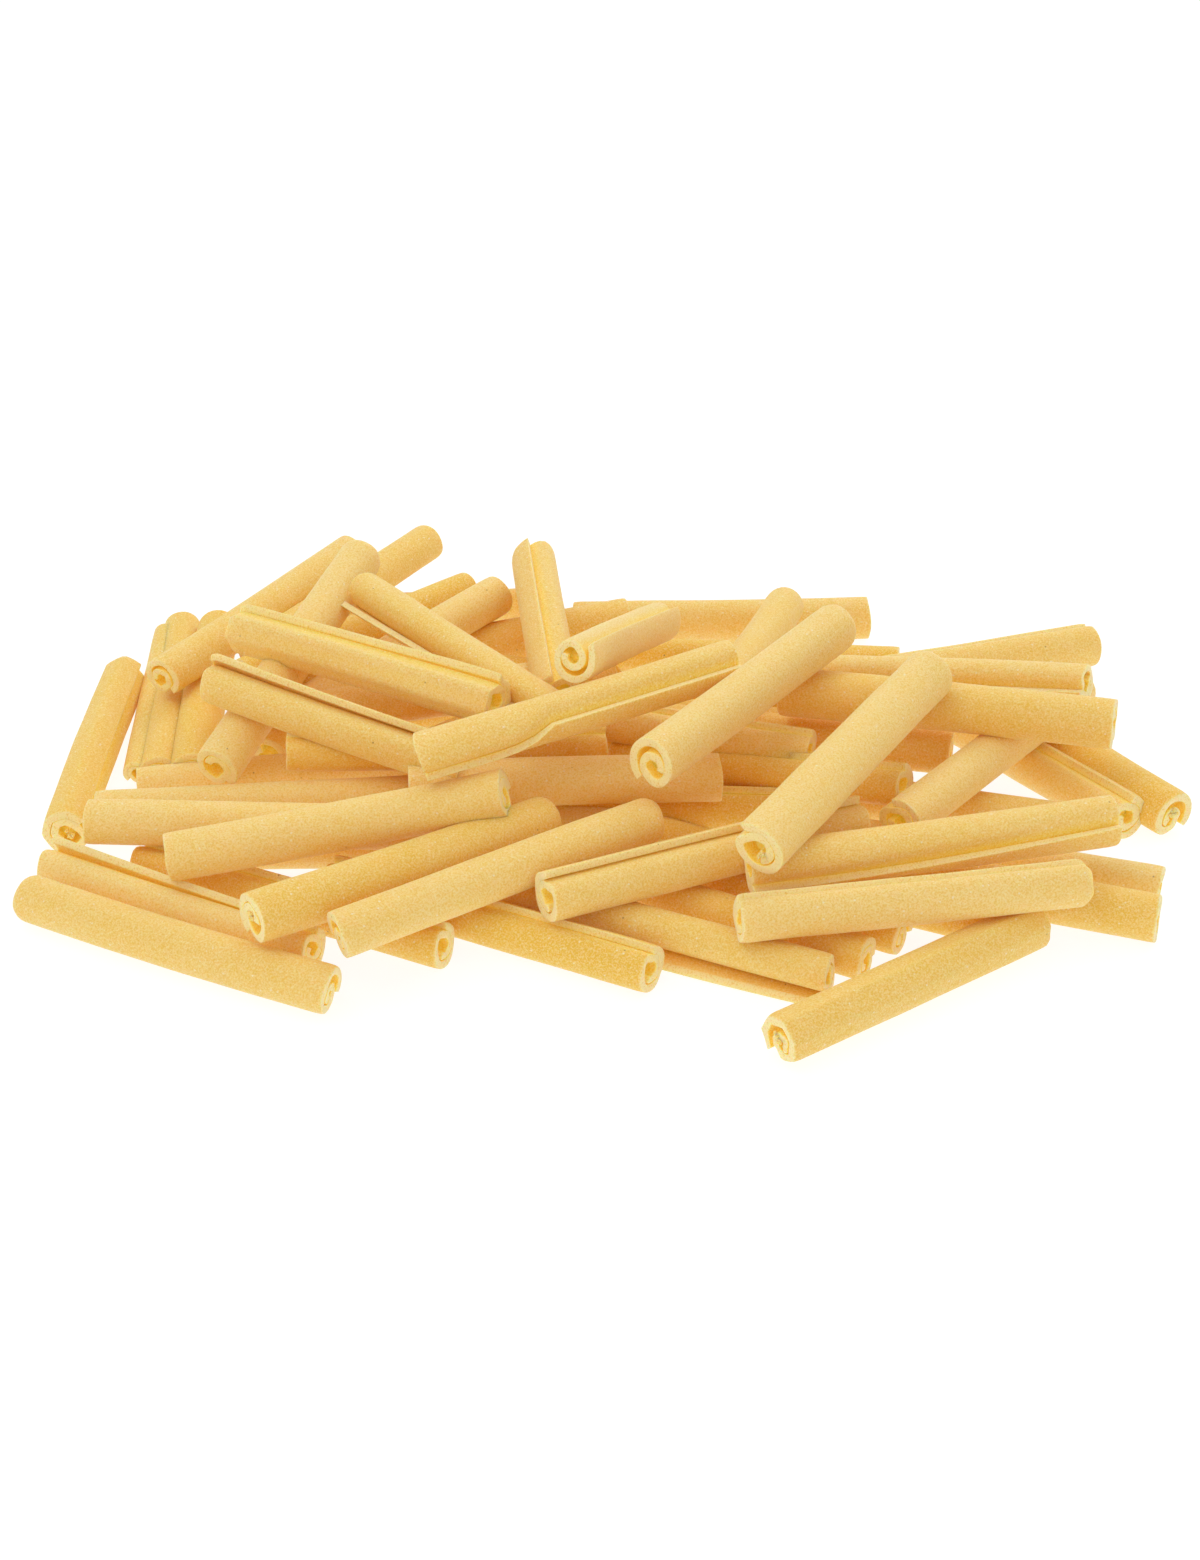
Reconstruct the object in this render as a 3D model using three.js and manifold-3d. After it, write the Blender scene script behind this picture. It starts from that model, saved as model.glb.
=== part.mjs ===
// A heap of dry pasta sticks, each rolled up from a strip of sheet, lying loose as poured.
// Millimetres, +Z up. The sticks, the packing under them and the bed they share are joined into one solid.
import * as THREE from "three";
import { ConvexGeometry } from "three/addons/geometries/ConvexGeometry.js";
import { mergeVertices } from "three/addons/utils/BufferGeometryUtils.js";
import Module from "manifold-3d";

const SECTION_SIDES = 9; // flats round one stick
const SHEET_STEP = 0.8; // drop at the free edge of the rolled sheet
const SNUG = 0.35; // added to every radius, so that sticks that touch are one body
const HOLLOW_SIDES = 5;
const HOLLOW_SHARE = 0.36; // radius of the hollow in a stick's end, as a share of the stick's own
const HOLLOW_DEPTH = 3;
const BED_HEIGHT = 5; // what fills the spaces between the lowest sticks
const PACKING_INSET = 6; // the packing under a raised stick stops this far short of its ends
const PACKING_SHARE = 0.6; // half width of the packing at the stick, as a share of the stick's radius
const PACKING_SPREAD = 0.3; // how much wider it gets on each side per millimetre further down
const RAISED = 2; // a stick lifted less than this at both ends has no packing of its own
const WELD = 1e-4; // corners closer than this are one

// Where each stick lies: x, y and lift of one end, x, y and lift of the other, radius, seam, turn.
// Lift is the height of the stick's underside over the table. Seam is the angle of the sheet's free
// edge, in degrees clockwise from the top when looking from the first end to the second, and turn
// says which way the sheet runs on from that edge: 1 clockwise, -1 anticlockwise.
const STICKS = [
  // front left, flat on the table
  [-86, -42, 0, -38, -67, 0, 3.8, 200, 1],
  [-85, -33, 0, -42, -56, 0, 3.5, 340, -1],
  [-71, -31, 0, -22, -55, 0, 3.5, 345, -1],
  [-62, -27, 0, -12, -26, 0, 3.5, 180, 1],
  // front middle, side by side
  [-41, -36, 0, 7, -61, 0, 3.5, 340, -1],
  [-16, -39, 0, 32, -63, 0, 3.4, 150, 1],
  [-7, -31, 0, 39, -58, 0, 3.3, 200, 1],
  [-3, -25, 0, 44, -52, 0, 3.5, 190, 1],
  [8, -24, 0, 57, -48, 0, 3.5, 170, 1],
  // front right
  [25, -78, 0, 66, -52, 0, 3.6, 300, 1],
  [33, -30, 0, 83, -48, 0, 3.8, 180, 1],
  [34, -22, 0, 86, -38, 0, 3.1, 200, 1],
  [24, -7, 0, 76, -20, 0, 3.6, 210, 1],
  // right side
  [92, -18, 0, 65, 24, 0, 3.6, 200, 1],
  [84, -19, 0, 54, 23, 0, 3.9, 45, 1],
  [47, -30, 7, 80, 12, 7, 3.8, 330, 1],
  // back edge, right to left
  [89, 42, 0, 37, 25, 0, 3.9, 10, 1],
  [53, 36, 0, 4, 39, 0, 3.1, 180, 1],
  [-5, 51, 0, 49, 53, 0, 3.5, 20, -1],
  [-64, 56, 0, -10, 60, 0, 3.1, 200, 1],
  // left side
  [-85, -24, 0, -84, 30, 0, 3.3, 50, -1],
  [-75, -4, 0, -78, 50, 0, 3.1, 290, 1],
  [-68, -3, 1, -70, 49, 1, 3.1, 180, 1],
  [-55, 1, 0, -50, 49, 0, 3.3, 190, 1],
  // lowest sticks in the middle
  [-75, -9, 0, -22, 1, 0, 3.5, 200, 1],
  [-23, -12, 0, 31, -16, 0, 3.6, 350, -1],
  [-18, 31, 0, 34, 18, 0, 3.6, 200, 1],
  [5, 47, 2, -46, 30, 0, 3.6, 170, 1],
  // second layer, left
  [-80, -20, 3, -26, -14, 2, 3.4, 180, 1],
  [-79, -31, 7, -25, -31, 6, 3.5, 190, 1],
  [-65, -42, 7, -15, -33, 13, 3.8, 190, 1],
  [1, -7, 7, -50, -12, 9, 3.4, 0, 1],
  [-61, -15, 7, -43, 34, 20, 3.8, 210, 1],
  [-74, 15, 8, -46, 61, 10, 3.4, 220, 1],
  [-60, 25, 7, -31, 70, 8, 3.5, 190, 1],
  [-24, 57, 7, -61, 20, 7, 3.1, 160, 1],
  [-18, 45, 9, -51, 2, 7, 3.6, 180, 1],
  // second layer, front and middle
  [-50, -61, 9, -6, -29, 7, 3.3, 200, 1],
  [-38, -63, 7, 7, -33, 8, 3.6, 170, 1],
  [-30, -21, 7, 19, -18, 7, 3.9, 190, 1],
  [-8, -53, 7, 40, -31, 7, 3.5, 355, -1],
  [20, -59, 7, 72, -50, 7, 3.5, 200, 1],
  [22, -47, 8, 76, -38, 11, 3.7, 110, 1],
  // second layer, right and back
  [48, -20, 7, 3, 1, 1, 3.6, 0, 1],
  [34, -9, 7, -17, 8, 7, 3.6, 10, 1],
  [57, -6, 5, 5, 8, 3, 3.6, 200, 1],
  [77, -1, 15, 33, 20, 6, 3.2, 250, -1],
  [81, -15, 15, 30, 1, 12, 4.1, 180, 1],
  [-12, 62, 6, -8, 13, 6, 3.2, 180, 1],
  [-12, 51, 13, -7, 0, 12, 3.8, 45, 1],
  [33, 44, 7, 19, -5, 14, 3.6, 180, 1],
  // on top
  [-62, -4, 17, -13, -25, 14, 3.8, 355, -1],
  [-60, 12, 19, -16, -14, 19, 4, 0, -1],
  [-41, 31, 15, -10, -11, 18, 3.8, 40, 1],
  [-4, -16, 27, 11, 32, 10, 3.5, 330, 1],
  [-27, -34, 20, 21, -7, 22, 3.7, 115, 1],
  [9, -34, 18, 39, 7, 21, 4.1, 190, 1],
  [23, -52, 15, 53, -7, 20, 3.9, 320, 1],
];

// Corners of the bed, anticlockwise from the front left. It stays inside the heap's outline.
const BED = [
  [-80, -43], [-44, -62], [-22, -52], [5, -58], [31, -62],
  [45, -65], [60, -50], [82, -46], [80, -32], [72, -21],
  [88, -16], [64, 22], [84, 38], [46, 51], [-4, 50],
  [-12, 59], [-62, 55], [-75, 46], [-82, 27], [-83, -21],
];

const wasm = await Module();
wasm.setup();

// A closed three.js geometry as a manifold-3d solid.
function solid(geometry) {
  geometry.deleteAttribute("normal");
  geometry.deleteAttribute("uv");
  const merged = mergeVertices(geometry, WELD);
  const mesh = new wasm.Mesh({
    numProp: 3,
    vertProperties: new Float32Array(merged.attributes.position.array),
    triVerts: new Uint32Array(merged.index.array),
  });
  return new wasm.Manifold(mesh);
}

// A flat outline pushed out to a straight bar along its own normal.
function bar(corners, length) {
  const shape = new THREE.Shape(corners);
  return new THREE.ExtrudeGeometry(shape, { depth: length, bevelEnabled: false });
}

// The rolled outline: the radius falls from the free edge once round, and steps back up at the seam.
function rolledOutline(radius, seam, turn) {
  const corners = [];
  for (let i = 0; i <= SECTION_SIDES; i++) {
    const share = i / SECTION_SIDES;
    const angle = THREE.MathUtils.degToRad(seam) + turn * share * 2 * Math.PI;
    const reach = radius + SHEET_STEP / 2 - SHEET_STEP * share;
    corners.push(new THREE.Vector2(reach * Math.sin(angle), reach * Math.cos(angle)));
  }
  return THREE.ShapeUtils.isClockWise(corners) ? corners.reverse() : corners;
}

function hollowOutline(radius) {
  const corners = [];
  for (let i = 0; i < HOLLOW_SIDES; i++) {
    const angle = (i / HOLLOW_SIDES) * 2 * Math.PI;
    corners.push(new THREE.Vector2(radius * Math.cos(angle), radius * Math.sin(angle)));
  }
  return corners;
}

// The two ends of a stick's centre line.
function centreLine([x1, y1, lift1, x2, y2, lift2, radius]) {
  return [new THREE.Vector3(x1, y1, lift1 + radius), new THREE.Vector3(x2, y2, lift2 + radius)];
}

// One stick between its two ends, with a shallow hollow in each.
function stick(row) {
  const [radius, seam, turn] = row.slice(6);
  const [start, end] = centreLine(row);
  const along = end.clone().sub(start);
  const length = along.length();
  along.normalize();
  const side = along.clone().cross(new THREE.Vector3(0, 0, 1)).normalize();
  const up = side.clone().cross(along);
  const place = new THREE.Matrix4().makeBasis(side, up, along).setPosition(start);

  const rod = bar(rolledOutline(radius + SNUG, seam, turn), length);
  const hollow = bar(hollowOutline(radius * HOLLOW_SHARE), 2 * HOLLOW_DEPTH);
  const hollows = [0, length].map((z) => solid(hollow.clone().translate(0, 0, z - HOLLOW_DEPTH)));
  return solid(rod).subtract(wasm.Manifold.union(hollows)).transform(place.elements);
}

// The heap's inside under a raised stick, sloping out to the table.
function packing(row) {
  const radius = row[6];
  const [start, end] = centreLine(row);
  const inset = PACKING_INSET / start.distanceTo(end);
  const across = new THREE.Vector3(end.y - start.y, start.x - end.x, 0).normalize();
  const corners = [];
  for (const share of [inset, 1 - inset]) {
    const top = start.clone().lerp(end, share);
    const foot = top.clone().setZ(0);
    const topHalf = PACKING_SHARE * radius;
    const footHalf = topHalf + PACKING_SPREAD * top.z;
    for (const way of [-1, 1]) {
      corners.push(top.clone().addScaledVector(across, way * topHalf));
      corners.push(foot.clone().addScaledVector(across, way * footHalf));
    }
  }
  return solid(new ConvexGeometry(corners));
}

const bed = solid(bar(BED.map(([x, y]) => new THREE.Vector2(x, y)), BED_HEIGHT));
const raised = STICKS.filter(([, , lift1, , , lift2]) => lift1 > RAISED || lift2 > RAISED);
const joined = wasm.Manifold.union([bed, ...STICKS.map(stick), ...raised.map(packing)]);

// Nothing reaches under the table, and pockets closed in all round are filled.
const onTable = joined.trimByPlane([0, 0, 1], 0);
const [heap] = onTable.decompose().filter((body) => body.volume() > 0);

const made = heap.getMesh();
const geometry = new THREE.BufferGeometry();
geometry.setAttribute("position", new THREE.BufferAttribute(made.vertProperties, 3));
geometry.setIndex(new THREE.BufferAttribute(made.triVerts, 1));
geometry.computeBoundingBox();
const middle = geometry.boundingBox.getCenter(new THREE.Vector3());
geometry.translate(-middle.x, -middle.y, 0);

const pasta = new THREE.MeshStandardMaterial({ color: 0xe3bd6b, roughness: 0.6 });
const mesh = new THREE.Mesh(geometry, pasta);
mesh.name = "pasta_heap";

const part = new THREE.Group();
part.add(mesh);

export default part;
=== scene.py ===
import math

import bpy
import numpy as np
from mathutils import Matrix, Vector


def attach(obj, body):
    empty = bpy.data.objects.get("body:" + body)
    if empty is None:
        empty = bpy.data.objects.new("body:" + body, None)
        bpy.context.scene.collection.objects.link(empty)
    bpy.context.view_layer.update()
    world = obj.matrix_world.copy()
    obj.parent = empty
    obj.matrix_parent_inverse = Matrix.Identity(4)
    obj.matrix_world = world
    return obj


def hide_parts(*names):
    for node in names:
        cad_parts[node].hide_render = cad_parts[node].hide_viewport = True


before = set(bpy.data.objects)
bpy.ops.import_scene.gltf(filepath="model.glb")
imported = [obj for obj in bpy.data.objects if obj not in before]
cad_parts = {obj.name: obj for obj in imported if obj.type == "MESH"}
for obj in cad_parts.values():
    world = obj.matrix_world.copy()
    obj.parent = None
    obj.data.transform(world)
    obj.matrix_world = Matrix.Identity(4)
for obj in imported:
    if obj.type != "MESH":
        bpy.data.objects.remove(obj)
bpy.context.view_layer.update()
print("frame loaded")

mm = 0.001
heap = {
    "middle": (3.30, -4.56),  # centre of the footprint in the layout below, mm
    "seed": 41,
    "bow": 0.45,  # most that a stick bends sideways between its ends, mm
    "twist": 5.0,  # degrees from one end to the other, either way
    "squash": 0.035,  # share by which a section is out of round
    "leastSquash": 0.3,  # the part of that which every stick gets
    "lumps": 0.06,  # height of the slow swells along a stick, mm
    "swells": (1, 2, 3, 5),  # how many times the slowest each of them is
    "swellRun": 1.7,  # half waves of the slowest over a stick's length
    "slant": 0.06,  # how far off square an end may be cut
    "slantFade": 6,  # how closely the slant keeps to the end, as a power
    "wavyCut": 0.10,  # unevenness of the cut itself, mm
    "cutWaves": (3, 1.9),  # its waves round the stick, and radians per mm outwards
    "cutPhase": 6,  # radians it may be turned by
    "pinch": 0.05,  # most that an end draws in where a row doesn't say
    "pinchRun": 1.6,  # length over which an end draws in, mm
    "edgeLift": 0.4,  # share of a standing edge's lift left out when its depth is worked out
    "tone": 0.5,  # deepest tone where a row doesn't say
}

# Each stick: kind, x, y and lift of one end, x, y and lift of the other, radius, seam, turn, and
# what is its own. Millimetres and degrees. Lift is the underside over the table, seam the free
# edge's angle clockwise from the top looking from the first end to the second, and turn the way
# the sheet runs on from that edge. Its own, first end then second where there are two:
# spread, how far the free edge stands off; twist, degrees; flats, 0 round to 1 faceted or more;
# pinch, how much an end draws in; slant, slopes of the two cuts, across and up; edge, places
# along it from -0.5 to 0.5 with degrees the seam moves by; bow, mm; tone, 0 pale to 1 deep or
# a little more, the stick's own colour and, where it lies in the heap's shade, painted shade;
# amber, how strongly the folds take the painted amber shade and the glow.
layout = [
    # front left, flat on the table
    ("slotRoll", -87, -42, 0, -38.4, -67, 0, 3.8, 230, 1, {
        "bow": 0.6, "slant": (0, 0, 0.1, 0.1), "pinch": (0.22, 0.04), "tone": 0.42,
    }),
    ("scrollRoll", -85, -33, 0.4, -42, -56, 0, 3.5, 335, -1, {"spread": (1.3, 0.03), "tone": 0.0}),
    ("flapRoll", -71, -31, 0, -22.8, -55, 0, 3.5, 345, -1, {"spread": (0.2, 0.2), "tone": 0.92}),
    ("hollowRoll", -62, -27, 0, -12, -26, 0, 3.5, 245, 1, {"tone": 0.3}),
    # front middle, side by side
    ("flapRoll", -41, -36, 0, 7.6, -61.3, 0, 3.6, 348, -1, {"spread": (0.2, 0.2), "tone": 1.15}),
    ("spreadRoll", -16, -39, 0, 33.2, -63.3, 0, 3.6, 121, 1, {
        "spread": (3.3, 1.4), "amber": 0.5, "twist": 22, "slant": (0, 0, 0.15, 0), "tone": 0.51,
    }),
    ("scrollRoll", -7, -31, 0, 39, -58, 0, 3.3, 250, 1, {"tone": 0.82}),
    ("slotRoll", -3, -25, 0, 45, -51.6, 0, 3.5, 245, 1, {"tone": 1.12}),
    ("snugRoll", 8, -24, 0, 58, -48.5, 0, 3.5, 245, 1, {"tone": 1.15}),
    # front right
    ("slotRoll", 24.8, -79.5, 0, 65.3, -49.5, 0, 4.0, 220, 1, {
        "bow": 0.1, "flats": 1.0, "pinch": (0.04, 0.25), "tone": 0.62,
    }),
    ("snugRoll", 33, -30, 0, 83.4, -48, 0, 3.8, 245, 1, {"tone": 0.78}),
    ("scrollRoll", 34, -21, 0, 85.8, -37.7, 0, 3.1, 250, 1, {"tone": 0.0}),
    ("snugRoll", 24, -7, 0, 76, -21.3, 0, 3.6, 245, 1, {"tone": 0.38}),
    # right side
    ("slotRoll", 91.4, -18.4, 0, 65.2, 24.3, 0, 4.0, 135, -1, {"tone": 0.94}),
    ("scrollRoll", 84, -19, 0, 54, 23, 0, 3.9, 15, 1, {"spread": (0.15, 0.1), "tone": 0.36}),
    ("scrollRoll", 46, -31.5, 7, 80, 12, 7, 3.8, 330, 1, {"tone": 0.0}),
    # back edge, right to left
    ("flapRoll", 88.1, 41.9, 0, 37, 25, 0, 3.9, 45, 1, {"spread": (0.2, 0.0), "tone": 0.45}),
    ("snugRoll", 53, 36, 0, 0, 39.4, 0, 3.1, 190, 1, {"tone": 1.15}),
    ("hollowRoll", -5, 51, 0, 49, 53, 0, 3.8, 285, -1, {"tone": 0.35}),
    ("hollowRoll", -64, 56, 0, -10, 60, 0, 3.1, 245, 1, {"tone": 0.43}),
    # left side
    ("flapRoll", -84.2, -23.6, 0, -83.1, 30, 0, 4.0, 55, -1, {
        "flats": 0.7, "pinch": (0.02, 0.10), "tone": 0.8,
    }),
    ("snugRoll", -72.5, -4, 0, -76, 50, 0, 3.3, 225, 1, {"tone": 0.75}),
    # the curled free edge of the one before
    ("snugRoll", -76.4, -3, 1, -78.5, 47, 1.5, 2.1, 225, 1, {"tone": 0.62}),
    ("snugRoll", -66.4, -6, 1, -68.8, 46.5, 1, 3.8, 225, 1, {"tone": 1.15}),
    ("hollowRoll", -55.5, 1, 0, -50.5, 49, 0, 3.7, 225, 1, {"tone": 0.8}),
    # lowest sticks in the middle
    ("snugRoll", -75, -9, 0, -22, 1, 0, 3.5, 245, 1, {"tone": 0.03}),
    ("flapRoll", -23, -12, 0, 31, -16, 0, 3.6, 350, -1, {"spread": (0.2, 0.2), "tone": 1.15}),
    ("hollowRoll", -18, 31, 0, 34, 18, 0, 3.6, 245, 1, {"tone": 1.0}),
    ("snugRoll", 5, 47.5, 2, -46, 30.5, 0, 4.0, 190, 1, {"tone": 0.72}),
    # deep in the heap, all but hidden
    ("hollowRoll", -30, -6, 4, 2, 22, 4, 3.6, 225, 1, {"tone": 1.0}),
    ("hollowRoll", -46, 2, 8, 2, 16, 8, 3.6, 225, 1, {"tone": 0.35}),
    ("hollowRoll", -58, 8, 6, -26, 35, 4, 3.6, 225, 1, {"tone": 1.0}),
    # second layer, left
    ("snugRoll", -79.6, -20.3, 2.5, -26, -14, 2, 3.4, 245, 1, {"tone": 0.0}),
    ("snugRoll", -79, -31, 7, -25, -31, 6, 3.5, 245, 1, {"tone": 0.06}),
    ("snugRoll", -65, -42, 7, -14.4, -33, 13, 3.8, 245, 1, {
        "slant": (0, 0, -0.26, -0.15), "tone": 0.18,
    }),
    ("flapRoll", 1, -7, 7, -50, -12, 9, 3.4, 0, 1, {"tone": 0.81}),
    ("flapRoll", -61, -15, 7, -41.2, 36.3, 20.3, 3.8, 145, -1, {
        "pinch": (0.04, 0.15), "tone": 0.0,
    }),
    ("crescentRoll", -74, 15, 8, -45.5, 59.6, 10.5, 3.4, 145, -1, {"tone": 0.45}),
    ("snugRoll", -60, 25, 7, -32.2, 69.7, 7.9, 3.4, 245, 1, {"tone": 0.63}),
    ("snugRoll", -24, 52.5, 6.8, -61, 20, 6, 3.1, 190, 1, {"tone": 0.97}),
    ("snugRoll", -18.3, 44.7, 8.8, -51, 2, 7, 3.6, 190, 1, {"tone": 0.1}),
    # second layer, front and middle
    ("snugRoll", -50, -61, 8.5, -8, -30, 6.6, 3.8, 205, 1, {"pinch": (0.02, 0.12), "tone": 0.75}),
    ("slotRoll", -37.6, -63, 7, 8.2, -32.4, 8.2, 3.7, 238, 1, {
        "pinch": (0.02, 0.2), "slant": (-0.13, -0.08, 0, 0), "tone": 0.24,
    }),
    ("snugRoll", -30, -21, 7, 19, -18, 7, 3.9, 245, 1, {"tone": 0.0}),
    ("flapRoll", -8, -53, 7, 40, -31, 7, 3.8, 357, -1, {
        "spread": (0.55, 0.3), "amber": 0.6, "tone": 0.36,
    }),
    ("flapRoll", 20, -59, 7.3, 72, -50, 8, 3.5, 325, -1, {
        "spread": (0.15, 0.05), "pinch": (0.06, 0.38), "tone": 0.09,
    }),
    ("flapRoll", 22, -47, 8, 77.2, -38, 11, 3.9, 70, 1, {
        "spread": (0.05, 0.45), "edge": ((-0.5, 60), (0.0, 32), (0.5, 0)), "tone": 0.39,
    }),
    # second layer, right and back
    ("flapRoll", 48, -20, 7, 3, 1, 1, 3.6, 5, 1, {"tone": 0.93}),
    ("flapRoll", 34, -9, 7, -17, 8, 7, 3.6, 10, 1, {"tone": 0.27}),
    ("snugRoll", 57, -6, 5, 5, 8, 3, 3.6, 190, 1, {"tone": 0.74}),
    ("flapRoll", 79.0, -1, 15, 33, 20, 6, 3.4, 276, -1, {
        "spread": (0.35, 0.3), "amber": 0.6, "tone": 0.15,
    }),
    ("snugRoll", 81, -15, 14.7, 30, 1, 12, 4.1, 190, 1, {"tone": 0.62}),
    ("snugRoll", -12, 62, 6, -8, 13, 6, 3.2, 225, 1, {"tone": 0.3}),
    ("flapRoll", -12, 51, 13, -7, 0, 12, 3.9, 12, 1, {"spread": (0.35, 0.2), "tone": 0.45}),
    ("snugRoll", 33, 44, 7, 19, -5, 14, 3.6, 190, 1, {"tone": 0.64}),
    # on top
    ("wideFlapRoll", -63, -4, 17.4, -21, -20, 10, 3.8, 0, -1, {
        "spread": (1.2, 0.6), "amber": 0.5, "pinch": (0.15, 0.05), "tone": 0.38,
    }),
    ("flapRoll", -60, 12, 18, -16, -14, 18, 4.3, 350, -1, {
        "flats": 1.4, "spread": (0.05, 0.5), "pinch": (0.18, 0.04), "tone": 0.12,
    }),
    ("wideFlapRoll", -40.3, 25, 18.5, -6, -15.5, 16, 3.8, 88, 1, {
        "spread": (1.6, 0.1), "amber": 0.5, "tone": 0.53,
    }),
    ("crescentRoll", -4, -16, 27, 11, 32, 10, 3.5, 38, 1, {"spread": (0.9, 0.5), "tone": 0.0}),
    ("flapRoll", -27, -34, 20, 21, -7, 22, 3.7, 70, 1, {
        "tone": 0.48,
        "edge": ((-0.5, 66), (-0.28, 62), (-0.21, 48), (-0.16, 24), (-0.12, 4), (0.5, 4)),
        "spread": (0.3, 0.25),
        "slant": (-0.38, -0.22, 0, 0),
    }),
    ("crescentRoll", 7.6, -34, 18.4, 39, 7, 21, 4.1, 215, 1, {
        "spread": (0.3, 0.0), "pinch": (0.0, 0.12), "tone": 0.04,
    }),
    ("flapRoll", 23, -52.4, 14.5, 53, -7, 20, 4.1, 315, 1, {
        "spread": (0.4, 0.0), "pinch": (0.0, 0.15), "tone": 0.09,
    }),
    # flat on the table under the back, seen from above only
    ("hollowRoll", -47, 15, 0, -8, 22, 0, 3.5, 245, 1, {"tone": 1.0}),
    ("hollowRoll", -4, 19.5, 0, 47, 8.5, 0, 3.4, 245, 1, {"tone": 1.0}),
    ("hollowRoll", -10, 12, 0, 42, 1, 0, 3.4, 245, 1, {"tone": 1.0}),
]

strip = {
    "length": 54.0,
    "thick": 1.2,
    "radius": 3.6,  # the rolled stick's outside, before a row gives it its own
    "alongCuts": 30,
    "roundCuts": 50,
    "endCuts": 0.13,  # how far the cuts crowd towards the ends
    "softEdge": 0.13,  # rounding of the cut edges
    "softSteps": 3,
    "softAngle": 50,  # degrees from which an edge is rounded
    "lean": 0.02,  # turns past the dive's start at which the inner round sits off centre
    "plugRadius": 1.5,  # the crushed innermost folds, seen down an open end
    "plugDepth": 1.8,
    "plugSides": 16,
    "flatSides": 7,  # lengthwise flats round a faceted stick
}

# turns: how far the strip winds. dive: where it leaves the outer round for the inner one, in
# turns from the free edge. inner, innerEnd: radius of the inner round and of its end. offset:
# how far the inner round sits off centre. spread: how far the free edge stands off. arc:
# degrees over which it does. bend: how sharply.
rollKinds = {
    "snugRoll": {
        "turns": 1.70, "dive": (0.84, 1.00), "inner": 1.90, "innerEnd": 1.38, "offset": 0.0,
        "spread": 0.0, "arc": 40, "bend": 1.5,
    },
    "scrollRoll": {
        "turns": 1.80, "dive": (0.83, 1.00), "inner": 1.84, "innerEnd": 1.46, "offset": 0.08,
        "spread": 0.12, "arc": 60, "bend": 1.5,
    },
    "slotRoll": {
        "turns": 1.80, "dive": (0.66, 1.00), "inner": 1.25, "innerEnd": 0.85, "offset": 0.55,
        "spread": 0.0, "arc": 70, "bend": 1.5,
    },
    "crescentRoll": {
        "turns": 1.70, "dive": (0.80, 1.00), "inner": 1.66, "innerEnd": 1.48, "offset": 0.58,
        "spread": 0.05, "arc": 45, "bend": 1.5,
    },
    "hollowRoll": {
        "turns": 1.34, "dive": (0.82, 1.00), "inner": 1.90, "innerEnd": 1.55, "offset": 0.0,
        "spread": 0.05, "arc": 40, "bend": 1.5,
    },
    "flapRoll": {
        "turns": 1.60, "dive": (0.85, 1.00), "inner": 1.90, "innerEnd": 1.55, "offset": 0.0,
        "spread": 0.03, "arc": 28, "bend": 1.5,
    },
    "wideFlapRoll": {
        "turns": 1.52, "dive": (0.84, 1.00), "inner": 1.84, "innerEnd": 1.45, "offset": 0.02,
        "spread": 0.6, "arc": 45, "bend": 1.5,
    },
    "spreadRoll": {
        "turns": 1.55, "dive": (0.82, 1.00), "inner": 1.72, "innerEnd": 1.35, "offset": 0.0,
        "spread": 2.6, "arc": 75, "bend": 4.0,
    },
}


def deselectAll():
    for item in bpy.context.selected_objects:
        item.select_set(False)


def eased(value):
    held = min(1.0, max(0.0, value))
    return held * held * (3 - 2 * held)


# Where a place on the strip lies in the roll's section, at a share of the way from the free edge.
def rolledPoint(share, kind):
    turnShare = share * kind["turns"]
    outer = strip["radius"] - strip["thick"] / 2
    diveStart, diveEnd = kind["dive"]
    inside = eased((turnShare - diveStart) / (diveEnd - diveStart))
    radius = outer + (kind["inner"] - outer) * inside
    if turnShare > diveEnd:
        tighter = kind["innerEnd"] - kind["inner"]
        radius += tighter * (turnShare - diveEnd) / (kind["turns"] - diveEnd)
    angle, offAngle = 2 * math.pi * turnShare, 2 * math.pi * (diveStart + strip["lean"])
    side = radius * math.sin(angle) + kind["offset"] * inside * math.sin(offAngle)
    up = radius * math.cos(angle) + kind["offset"] * inside * math.cos(offAngle)
    return side, up


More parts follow.
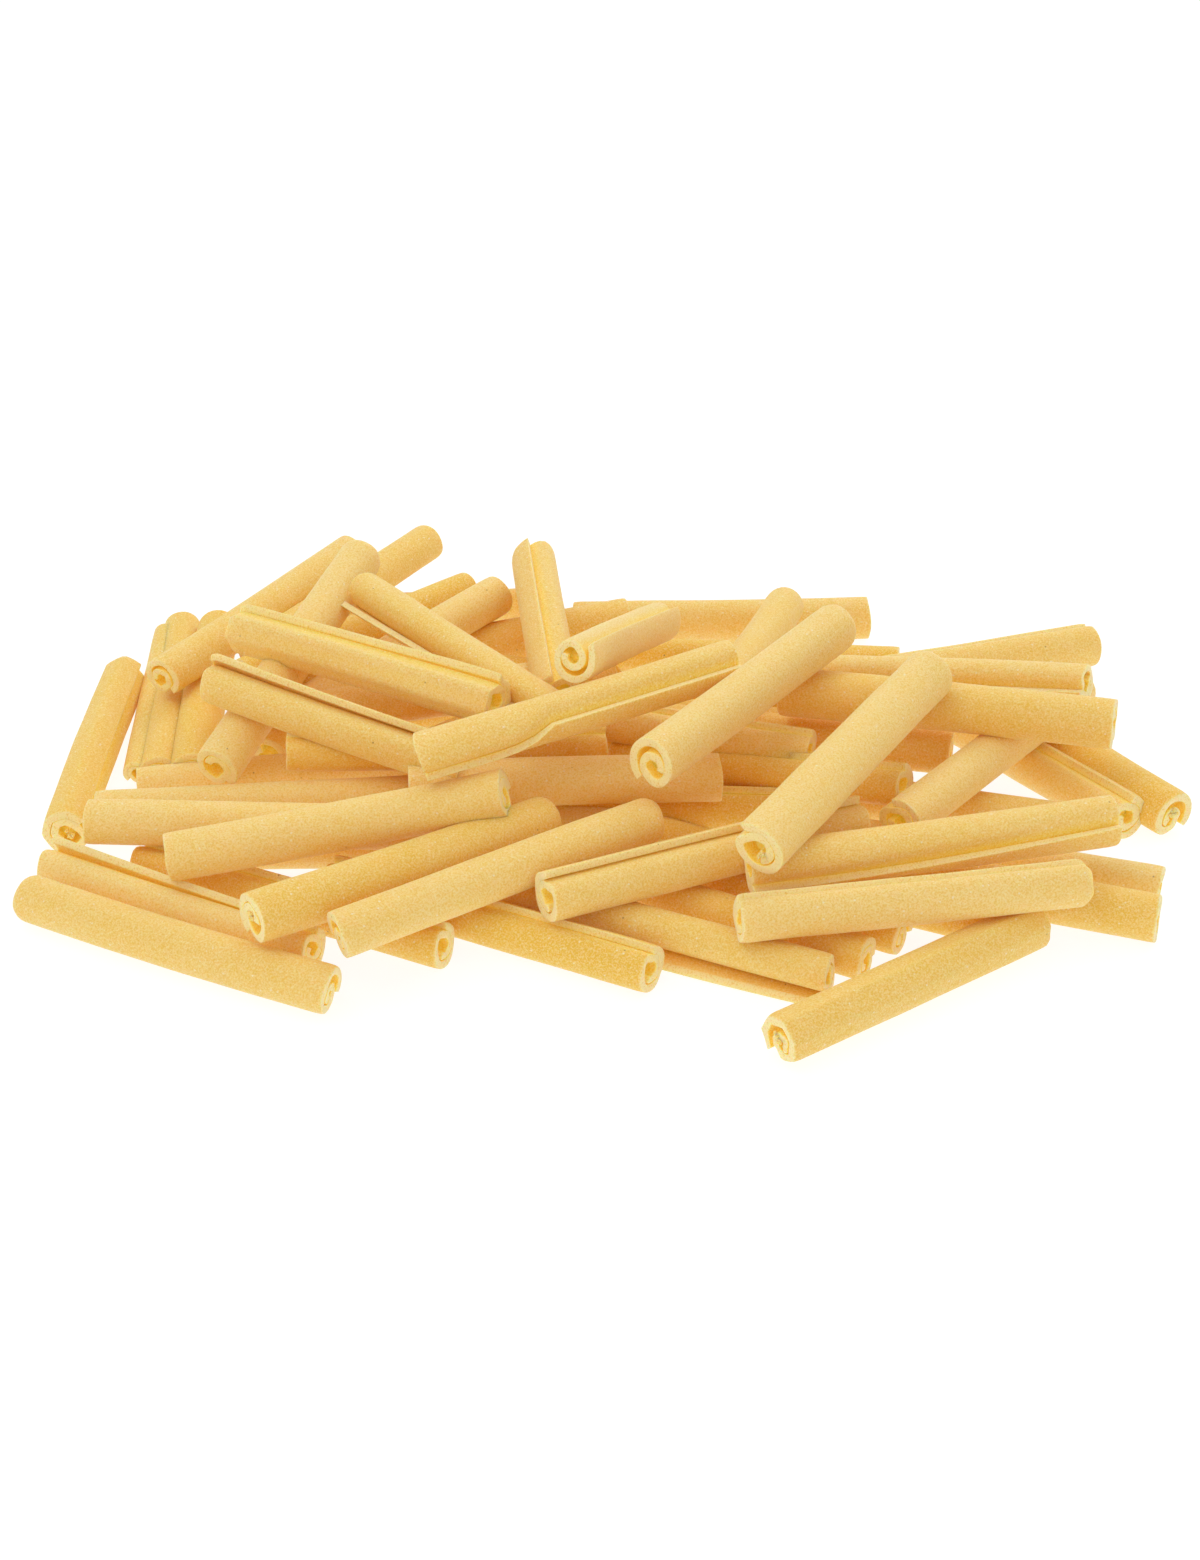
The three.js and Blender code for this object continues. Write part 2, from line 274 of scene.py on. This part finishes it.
def rollStrip(name, kind):
    deselectAll()
    bpy.ops.mesh.primitive_grid_add(
        x_subdivisions=strip["alongCuts"], y_subdivisions=strip["roundCuts"], size=1, calc_uvs=True
    )
    blank = bpy.context.object
    blank.name = name + "Blank"
    for vert in blank.data.vertices:
        far = vert.co.x + strip["endCuts"] * math.sin(2 * math.pi * vert.co.x)
        side, up = rolledPoint(vert.co.y + 0.5, kind)
        vert.co = (far * strip["length"] * mm, side * mm, up * mm)
    wall = blank.modifiers.new("wall", "SOLIDIFY")
    wall.thickness = strip["thick"] * mm
    wall.offset = 0
    wall.use_even_offset = True
    soften = blank.modifiers.new("soften", "BEVEL")
    soften.width = strip["softEdge"] * mm
    soften.segments = strip["softSteps"]
    soften.limit_method = "ANGLE"
    soften.angle_limit = math.radians(strip["softAngle"])
    for modifier in ("wall", "soften"):
        bpy.ops.object.modifier_apply(modifier=modifier)

    bpy.ops.mesh.primitive_cylinder_add(
        vertices=strip["plugSides"], radius=strip["plugRadius"] * mm,
        depth=(strip["length"] - 2 * strip["plugDepth"]) * mm,
        end_fill_type="TRIFAN", rotation=(0, math.pi / 2, 0),
    )
    plug = bpy.context.object
    bpy.ops.object.transform_apply(location=False, rotation=True, scale=False)
    for layer in plug.data.uv_layers:
        layer.name = blank.data.uv_layers[0].name
    for loop in plug.data.uv_layers[0].data:
        loop.uv = (0.5, 0.5)  # the middle of the strip, away from its pale edges

    blank.select_set(True)
    bpy.context.view_layer.objects.active = blank
    bpy.ops.object.join()
    bpy.ops.object.mode_set(mode="EDIT")
    bpy.ops.mesh.select_all(action="SELECT")
    bpy.ops.mesh.normals_make_consistent(inside=False)
    bpy.ops.object.mode_set(mode="OBJECT")
    bpy.ops.object.shade_smooth()
    return blank


# How far across the strip each corner of the roll lies, from 0 at the free edge to 1 inside.
def stripShare(mesh):
    corners = np.empty(len(mesh.loops) * 2)
    mesh.uv_layers[0].data.foreach_get("uv", corners)
    owners = np.empty(len(mesh.loops), dtype=int)
    mesh.loops.foreach_get("vertex_index", owners)
    share = np.zeros(len(mesh.vertices))
    share[owners] = corners[1::2]
    return share


# A random value is drawn even where a row has its own, so a change to one row moves no other.
def placedCopy(blank, row, rng):
    x1, y1, lift1, x2, y2, lift2, radius, seam, turn, own = row[1:]
    kind = rollKinds[row[0]]
    start = np.array([x1, y1, lift1 + radius], float)
    end = np.array([x2, y2, lift2 + radius], float)
    along = end - start
    length = np.linalg.norm(along)
    along /= length
    side = np.cross(along, (0, 0, 1))
    side /= np.linalg.norm(side)
    up = np.cross(side, along)

    # the free edge stands off
    mesh = blank.data.copy()
    points = np.empty(len(mesh.vertices) * 3)
    mesh.vertices.foreach_get("co", points)
    points = points.reshape(-1, 3) / mm
    far = points[:, 0] / strip["length"]  # -0.5 at the first end, 0.5 at the second
    reach = np.hypot(points[:, 1], points[:, 2])
    windings = stripShare(mesh) * kind["turns"] * 360
    spread = own.get("spread", (kind["spread"], kind["spread"]))
    standing = spread[0] + (spread[1] - spread[0]) * (far + 0.5)
    lifted = standing * np.clip(1 - windings / kind["arc"], 0, 1) ** kind["bend"]
    reach += lifted

    # flats, and the turn round the stick
    wedge = 2 * math.pi / strip["flatSides"]
    angle = np.arctan2(points[:, 1], points[:, 2])
    flat = math.cos(wedge / 2) / np.cos(angle % wedge - wedge / 2)
    reach *= 1 + own.get("flats", 0.0) * (flat - 1)
    twist = own.get("twist", rng.uniform(-1, 1) * heap["twist"])
    places, shifts = zip(*own.get("edge", ((0, 0),)))
    angle = angle * turn + np.radians(seam + np.interp(far, places, shifts) + twist * far)

    # its own radius, out of round, with swells and drawn-in ends
    reach *= radius / strip["radius"]
    squash = heap["squash"] * rng.uniform(heap["leastSquash"], 1)
    reach *= 1 + squash * np.cos(2 * (angle - rng.uniform(0, math.pi)))
    swell = np.zeros(len(reach))
    for waves in heap["swells"]:
        phase = rng.uniform(0, 2 * math.pi, 2)
        wave = np.sin(waves * math.pi * far * heap["swellRun"] + phase[0])
        swell += wave * np.cos(waves % 3 * angle + phase[1]) / waves
    reach += heap["lumps"] * swell * reach / radius
    pinches = own.get("pinch", rng.uniform(0.0, heap["pinch"], 2))
    fromEnd = (0.5 - np.abs(far)) * length
    pinch = np.where(far > 0, pinches[1], pinches[0])
    reach *= 1 - pinch * np.clip(1 - fromEnd / heap["pinchRun"], 0, 1) ** 2
    depth = (1 - (reach - heap["edgeLift"] * lifted) / radius) * own.get("amber", 1.0)

    # the cuts and the bend
    slant = rng.uniform(-1, 1, 4) * heap["slant"] + own.get("slant", (0, 0, 0, 0))
    across, rise = reach * np.sin(angle), reach * np.cos(angle)
    nearCut = slant[0] * across + slant[1] * rise
    cut = np.where(far > 0, slant[2] * across + slant[3] * rise, nearCut)
    roundWaves, outWaves = heap["cutWaves"]
    phase = rng.uniform(0, heap["cutPhase"])
    cut += heap["wavyCut"] * np.sin(angle * roundWaves + reach * outWaves + phase)
    run = (far + 0.5) * length + cut * np.clip(np.abs(far) * 2, 0, 1) ** heap["slantFade"]
    across += own.get("bow", rng.uniform(-1, 1) * heap["bow"]) * (1 - (2 * far) ** 2)
    placed = start + np.outer(run, along) + np.outer(across, side) + np.outer(rise, up)
    placed[:, :2] -= heap["middle"]

    mesh.vertices.foreach_set("co", (placed * mm).ravel())
    if turn < 0:
        mesh.flip_normals()
    tone = own.get("tone", rng.uniform(0.0, heap["tone"]))
    for name, values in (("tone", np.full(len(depth), tone)), ("depth", depth)):
        mesh.attributes.new(name, "FLOAT", "POINT").data.foreach_set("value", values)
    return mesh


def join(meshes, name):
    deselectAll()
    for index, mesh in enumerate(meshes):
        item = bpy.data.objects.new(f"{name}{index}", mesh)
        bpy.context.scene.collection.objects.link(item)
        item.select_set(True)
        bpy.context.view_layer.objects.active = item
    bpy.ops.object.join()
    made = bpy.context.object
    made.name = name
    return made


# Noise: size, detail and roughness. Range: where a colour starts to come in, and where it is full.
# Edge: the same two as shares of the strip in from its edge, and the strength there.
# Spots: spacing, radius as a share of it, and share of the places that have one.
dough = {
    "pale": (0.91, 0.645, 0.21, 1),
    # the dough's deeper tone, used also as painted shade on sticks that lie in the heap's shade
    "deep": (0.85, 0.505, 0.025, 1),
    "deepRange": (0.38, 1.0),  # of the stick's tone, blotches and clouds, weighted and added
    "toneWeight": 0.6,
    "blotchWeight": 0.45,
    "blotchNoise": (9 * mm, 3.0, 0.5),
    "cloudWeight": 0.3,
    "cloudNoise": (1.6 * mm, 3.0, 0.6),
    # painted amber shade of the folds, standing in for light passed through and between the walls
    "inside": (0.92, 0.64, 0.06, 1),
    "foldShadeRange": (0.10, 0.36),  # of the depth under the stick's outside
    # the pale of the cut faces, also laid on the rims round the ends as a painted highlight
    "cutEdgeAndHighlight": (0.97, 0.85, 0.50, 1),
    "endFaceEdge": (0.004, 0.0, 0.8),
    "freeEdge": (0.006, 0.0, 0.6),
    # a painted highlight in a band round each end
    "rimHighlightEdge": (0.035, 0.003, 0.45),
    "grainNoise": (0.27 * mm, 3.0, 0.65),
    "grainContrast": 0.95,
    "grainHeight": 0.055 * mm,
    "flour": (0.95, 0.78, 0.38, 1),
    "flourRange": (0.42, 0.72),
    "pit": (0.82, 0.53, 0.08, 1),
    "pitRange": (0.50, 0.28),
    "hollowNoise": (1.1 * mm, 2.0, 0.5),
    "hollowHeight": 0.8,  # against the grain's
    "speck": (0.97, 0.88, 0.68, 1),
    "speckSpots": (0.9 * mm, 0.22, 0.16),
    "bran": (0.25, 0.12, 0.04, 1),
    "branSpots": (2.6 * mm, 0.07, 0.12),
    "spotCore": 0.6,  # share of a spot's radius that is solid colour
    "spotStrength": 0.6,
    "roughness": (0.56, 0.72),  # smoothest and roughest
    "roughRange": (0.3, 0.7),  # of the clouds
    "scatter": 0.6,
    "scatterColours": (1.0, 0.6, 0.2),  # how far red, green and blue go, against the depth
    "scatterDepth": 1.2 * mm,
    "specular": 0.3,
    "sheen": 0.10,
    "sheenRoughness": 0.45,
    "glow": (0.90, 0.95, 0.08, 1),  # light that comes through the thin walls into the folds
    "glowRange": (0.10, 0.35),
    "glowStrength": 0.08,
}
dark = (0.0, 0.0, 0.0, 1)


def semolina():
    material = bpy.data.materials.new("semolina")
    material.use_nodes = True
    nodes, links = material.node_tree.nodes, material.node_tree.links
    shader = nodes["Principled BSDF"]
    place = nodes.new("ShaderNodeTexCoord")

    def feed(value, socket):
        if isinstance(value, (int, float, tuple)):
            socket.default_value = value
        else:
            links.new(value, socket)

    def noise(size, detail, roughness):
        made = nodes.new("ShaderNodeTexNoise")
        made.inputs["Scale"].default_value = 1 / size
        made.inputs["Detail"].default_value = detail
        made.inputs["Roughness"].default_value = roughness
        links.new(place.outputs["Object"], made.inputs["Vector"])
        return made.outputs["Fac"]

    def between(value, low, high, highOut=1.0, lowOut=0.0):
        made = nodes.new("ShaderNodeMapRange")
        made.inputs["From Min"].default_value = low
        made.inputs["From Max"].default_value = high
        made.inputs["To Min"].default_value = lowOut
        made.inputs["To Max"].default_value = highOut
        links.new(value, made.inputs["Value"])
        return made.outputs["Result"]

    def mixed(factor, first, second):
        made = nodes.new("ShaderNodeMix")
        made.data_type = "RGBA"
        links.new(factor, made.inputs["Factor"])
        feed(first, made.inputs["A"])
        feed(second, made.inputs["B"])
        return made.outputs["Result"]

    def maths(operation, first, second):
        made = nodes.new("ShaderNodeMath")
        made.operation = operation
        feed(first, made.inputs[0])
        feed(second, made.inputs[1])
        return made.outputs["Value"]

    def attribute(name):
        made = nodes.new("ShaderNodeAttribute")
        made.attribute_name = name
        return made.outputs["Fac"]

    def spots(size, radius, share):
        made = nodes.new("ShaderNodeTexVoronoi")
        made.inputs["Scale"].default_value = 1 / size
        links.new(place.outputs["Object"], made.inputs["Vector"])
        chance = nodes.new("ShaderNodeSeparateColor")
        links.new(made.outputs["Color"], chance.inputs["Color"])
        spot = between(made.outputs["Distance"], radius, radius * dough["spotCore"])
        here = maths("LESS_THAN", chance.outputs["Red"], share)
        return maths("MULTIPLY", maths("MULTIPLY", spot, here), dough["spotStrength"])

    # the dough's colour by its tone, partly painted shade, then painted amber shade in the folds,
    # where light bounces between the walls
    blotch = noise(*dough["blotchNoise"])
    cloud = noise(*dough["cloudNoise"])
    shade = maths("MULTIPLY", attribute("tone"), dough["toneWeight"])
    shade = maths("ADD", shade, maths("MULTIPLY", blotch, dough["blotchWeight"]))
    shade = maths("ADD", shade, maths("MULTIPLY", cloud, dough["cloudWeight"]))
    colour = mixed(between(shade, *dough["deepRange"]), dough["pale"], dough["deep"])
    # the folds take the painted amber shade by their depth under the outside
    folds = between(attribute("depth"), *dough["foldShadeRange"])
    colour = mixed(folds, colour, dough["inside"])

    # pale where the strip was cut, its end faces and the free edge, and a painted highlight on the
    # rims round its ends
    stripMap = nodes.new("ShaderNodeUVMap")
    stripMap.uv_map = "UVMap"
    onStrip = nodes.new("ShaderNodeSeparateXYZ")
    links.new(stripMap.outputs["UV"], onStrip.inputs["Vector"])

    def fromEdge(axis):
        share = onStrip.outputs[axis]
        return maths("MINIMUM", share, maths("SUBTRACT", 1.0, share))

    fromEnd, fromFree = fromEdge("X"), fromEdge("Y")
    endFace = between(fromEnd, *dough["endFaceEdge"])
    freeEdge = between(fromFree, *dough["freeEdge"])
    # the painted highlight on the rims
    rimHighlight = between(fromEnd, *dough["rimHighlightEdge"])
    cut = maths("MAXIMUM", maths("MAXIMUM", endFace, rimHighlight), freeEdge)
    colour = mixed(cut, colour, dough["cutEdgeAndHighlight"])

    # sandy grain, specks and bran
    grain = noise(*dough["grainNoise"])
    flour = between(grain, *dough["flourRange"], dough["grainContrast"])
    colour = mixed(flour, colour, dough["flour"])
    pit = between(grain, *dough["pitRange"], dough["grainContrast"])
    colour = mixed(pit, colour, dough["pit"])
    colour = mixed(spots(*dough["speckSpots"]), colour, dough["speck"])
    colour = mixed(spots(*dough["branSpots"]), colour, dough["bran"])
    links.new(colour, shader.inputs["Base Color"])

    lit = between(attribute("depth"), *dough["glowRange"])
    glow = mixed(endFace, mixed(lit, dark, dough["glow"]), dark)
    links.new(glow, shader.inputs["Emission Color"])
    shader.inputs["Emission Strength"].default_value = dough["glowStrength"]

    hollows = noise(*dough["hollowNoise"])
    height = maths("ADD", grain, maths("MULTIPLY", hollows, dough["hollowHeight"]))
    bump = nodes.new("ShaderNodeBump")
    bump.inputs["Distance"].default_value = dough["grainHeight"]
    links.new(height, bump.inputs["Height"])
    links.new(bump.outputs["Normal"], shader.inputs["Normal"])
    smooth, rough = dough["roughness"]
    links.new(between(cloud, *dough["roughRange"], rough, smooth), shader.inputs["Roughness"])
    shader.inputs["Subsurface Weight"].default_value = dough["scatter"]
    shader.inputs["Subsurface Radius"].default_value = dough["scatterColours"]
    shader.inputs["Subsurface Scale"].default_value = dough["scatterDepth"]
    shader.inputs["Specular IOR Level"].default_value = dough["specular"]
    shader.inputs["Sheen Weight"].default_value = dough["sheen"]
    shader.inputs["Sheen Roughness"].default_value = dough["sheenRoughness"]
    return material


finish = semolina()
rng = np.random.default_rng(heap["seed"])
copies = {name: [] for name in rollKinds}
blanks = {name: rollStrip(name, kind) for name, kind in rollKinds.items()}
for row in layout:
    copies[row[0]].append(placedCopy(blanks[row[0]], row, rng))
for name, meshes in copies.items():
    bpy.data.objects.remove(blanks[name])
    piece = join(meshes, name)
    piece.data.materials.clear()
    piece.data.materials.append(finish)
    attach(piece, "root")
    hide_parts("pasta_heap")
    triangles = sum(len(face.vertices) - 2 for face in piece.data.polygons)
    print(name, len(meshes), "sticks", triangles, "triangles")

crumbs = {
    "radius": 0.42,  # mm
    "sizes": (0.7, 1.3),  # smallest and largest, against the radius
    "ragged": 0.45,  # share by which a crumb's corners are pushed in or out
    "tone": -0.5,  # as pale as the dough gets
    # x, y and height of each, in five open mouths
    "places": [
        (-83.7, -23.6, 3.4), (-83.1, -23.5, 3.6), (-84.0, -23.5, 4.3), (-83.4, -23.3, 3.1),
        (91.1, -18.6, 5.1), (91.5, -18.4, 4.6), (90.8, -18.9, 4.5),
        (24.7, -79.5, 4.9), (25.0, -79.8, 4.3), (24.4, -79.2, 5.2),
        (-50.1, -61.0, 13.0), (-49.8, -61.3, 12.5),
        (23.6, -52.7, 18.0), (23.1, -52.5, 17.5), (23.9, -52.9, 17.7),
    ],
}


def strayCrumbs():
    deselectAll()
    bpy.ops.mesh.primitive_ico_sphere_add(subdivisions=2, radius=crumbs["radius"] * mm)
    blank = bpy.context.object
    made = []
    for x, y, height in crumbs["places"]:
        mesh = blank.data.copy()
        place = Vector((x - heap["middle"][0], y - heap["middle"][1], height)) * mm
        grown = rng.uniform(*crumbs["sizes"])
        for vert in mesh.vertices:
            vert.co = vert.co * grown * (1 + rng.uniform(-1, 1) * crumbs["ragged"]) + place
        for name, value in (("tone", crumbs["tone"]), ("depth", 0.0)):
            values = [value] * len(mesh.vertices)
            mesh.attributes.new(name, "FLOAT", "POINT").data.foreach_set("value", values)
        made.append(mesh)
    bpy.data.objects.remove(blank)
    piece = join(made, "crumbs")
    piece.data.materials.append(finish)
    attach(piece, "root")
    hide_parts("pasta_heap")


strayCrumbs()
print("crumbs strewn")

# What fills the heap's inside, under the sticks and all but out of sight. Millimetres.
core = {
    "radius": 30,
    "height": 5.5,
    "middle": (-4, -11),
    "stretch": 0.5,  # front to back, against the radius
    "swell": 0.12,  # share by which its outline is out of round
    "lobes": 5,
    "lobeTurn": 1,  # radians
    "underside": 0.2,  # over the table
}


def packedCore():
    deselectAll()
    bpy.ops.mesh.primitive_uv_sphere_add(segments=32, ring_count=16, radius=core["radius"] * mm)
    made = bpy.context.object
    made.name = "packedCore"
    for vert in made.data.vertices:
        x, y, z = vert.co / mm / core["radius"]
        lobe = math.sin(core["lobes"] * math.atan2(y, x) + core["lobeTurn"])
        swell = 1 + core["swell"] * lobe
        wide, deep = x * swell * core["radius"], y * swell * core["stretch"] * core["radius"]
        vert.co = (
            (wide + core["middle"][0] - heap["middle"][0]) * mm,
            (deep + core["middle"][1] - heap["middle"][1]) * mm,
            max(core["underside"], z * core["height"]) * mm,
        )
    bpy.ops.object.shade_smooth()
    made.data.materials.append(finish)
    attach(made, "root")
    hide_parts("pasta_heap")


packedCore()
print("heap laid")

studio = {
    "lens": 60,
    "sensor": 36,
    "elevation": 30,
    "distance": 432 * mm,
    "aim": (-3.30 * mm, 4.56 * mm, 0),  # the layout's own origin
    "floorSize": 6,
    "floor": (0.22, 0.22, 0.22, 1),
    "floorRoughness": 0.9,
    "floorLight": (1, 1, 1, 1),
    "floorGlow": 0.843,
    "sky": (1.0, 1.0, 1.0, 1),
    "skyStrength": 0.752,
    "bounces": 12,  # the folds glow with light passed from wall to wall
    "lamps": {  # place, size and power
        "keyLight": ((-0.25, -0.15, 0.6), 0.5, 0.7),
        "backLight": ((0.2, 0.5, 0.5), 0.5, 1.0),
    },
}


def softLight(name, place, size, power):
    bpy.ops.object.light_add(type="AREA", location=place)
    lamp = bpy.context.object
    lamp.name = name
    lamp.data.shape = "DISK"
    lamp.data.size = size
    lamp.data.energy = power
    lamp.rotation_euler = (-Vector(place)).to_track_quat("-Z", "Y").to_euler()


def buildStudio():
    scene = bpy.context.scene
    deselectAll()
    bpy.ops.mesh.primitive_plane_add(size=studio["floorSize"])
    floor = bpy.context.object
    floor.name = "floor"
    paint = bpy.data.materials.new("floorPaint")
    paint.use_nodes = True
    coat = paint.node_tree.nodes["Principled BSDF"].inputs
    coat["Base Color"].default_value = studio["floor"]
    coat["Roughness"].default_value = studio["floorRoughness"]
    coat["Emission Color"].default_value = studio["floorLight"]
    coat["Emission Strength"].default_value = studio["floorGlow"]
    floor.data.materials.append(paint)

    world = bpy.data.worlds.new("sky")
    scene.world = world
    world.use_nodes = True
    sky = world.node_tree.nodes["Background"].inputs
    sky["Color"].default_value = studio["sky"]
    sky["Strength"].default_value = studio["skyStrength"]
    for name, lamp in studio["lamps"].items():
        softLight(name, *lamp)
    scene.view_settings.view_transform = "Standard"
    scene.cycles.diffuse_bounces = studio["bounces"]
    scene.cycles.max_bounces = studio["bounces"] * 2

    tilt = math.radians(studio["elevation"])
    place = Vector((0, -math.cos(tilt), math.sin(tilt))) * studio["distance"]
    bpy.ops.object.camera_add(
        location=Vector(studio["aim"]) + place, rotation=(math.pi / 2 - tilt, 0, 0)
    )
    camera = bpy.context.object
    camera.data.lens = studio["lens"]
    camera.data.sensor_width = studio["sensor"]
    scene.camera = camera


buildStudio()
print("studio built")
